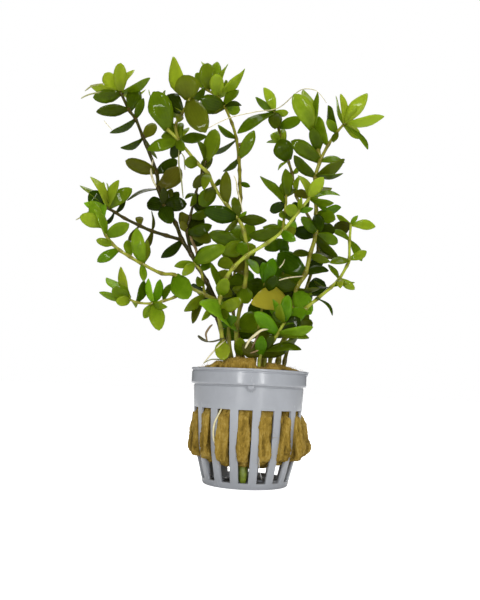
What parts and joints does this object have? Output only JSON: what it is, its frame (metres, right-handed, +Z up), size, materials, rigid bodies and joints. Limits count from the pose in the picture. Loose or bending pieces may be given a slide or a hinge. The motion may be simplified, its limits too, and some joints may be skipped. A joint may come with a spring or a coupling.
{
  "type": "potted lemon bacopa",
  "caption": "Lemon bacopa, an aquarium stem plant with fleshy oval leaves, planted in rock wool in a slotted grey plastic net pot.",
  "frame": {"origin": "centre of the underside of the pot's foot", "axes": "+Z up, -Y to the front of the plant, +X to its right"},
  "size_m": [0.1571, 0.0754, 0.219],
  "materials": {
    "grey_plastic": "satin",
    "rock_wool": "fibrous",
    "bright_green": "wet gloss",
    "olive_green": "wet gloss",
    "dark_green": "wet gloss"
  },
  "bodies": {
    "root": {"net_pot": "grey_plastic", "rock_wool": "rock_wool", "tall_left_shoot": "dark_green", "left_side_branch": "dark_green", "dark_inner_branch": "dark_green", "middle_shoot": "olive_green", "middle_top_branch": "olive_green", "centre_tall_branch": "olive_green", "bright_front_shoot": "bright_green", "front_side_twig": "olive_green", "thick_right_shoot": "olive_green", "right_top_branch": "bright_green", "rear_right_shoot": "olive_green", "far_right_shoot": "bright_green", "low_front_shoot": "bright_green", "basal_sprout": "olive_green", "small_centre_shoot": "olive_green", "left_reaching_shoot": "bright_green", "left_reaching_twig": "bright_green", "low_left_branch": "bright_green", "back_left_shoot": "olive_green", "back_right_shoot": "olive_green"}
  },
  "joints": []
}
